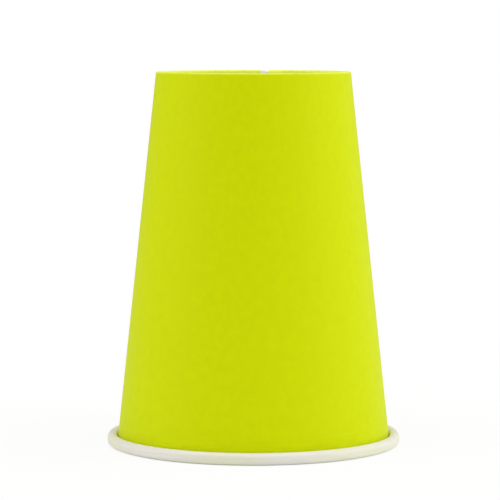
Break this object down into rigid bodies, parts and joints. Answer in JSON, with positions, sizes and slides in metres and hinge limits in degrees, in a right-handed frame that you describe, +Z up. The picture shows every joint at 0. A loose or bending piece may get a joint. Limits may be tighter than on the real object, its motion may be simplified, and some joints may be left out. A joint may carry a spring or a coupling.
{
  "type": "paper cup",
  "caption": "Flat-bottomed tapered paper cup standing upside down on its rolled rim, with a lap-seamed wall and a bottom disc set in a folded hem.",
  "frame": {"origin": "centre of the circle that the rolled rim stands on, with the cup upside down", "axes": "+Z up the cup's axis, from the mouth at the bottom to the closed base at the top; the side seam is near +Y"},
  "size_m": [0.076, 0.076, 0.097],
  "materials": {
    "printed_board": "lime print on white paper board, satin",
    "white_board": "unprinted white paper board with a thin satin coating"
  },
  "bodies": {
    "root": {"side_wall": "printed_board", "bottom_disc": "white_board"}
  },
  "joints": []
}
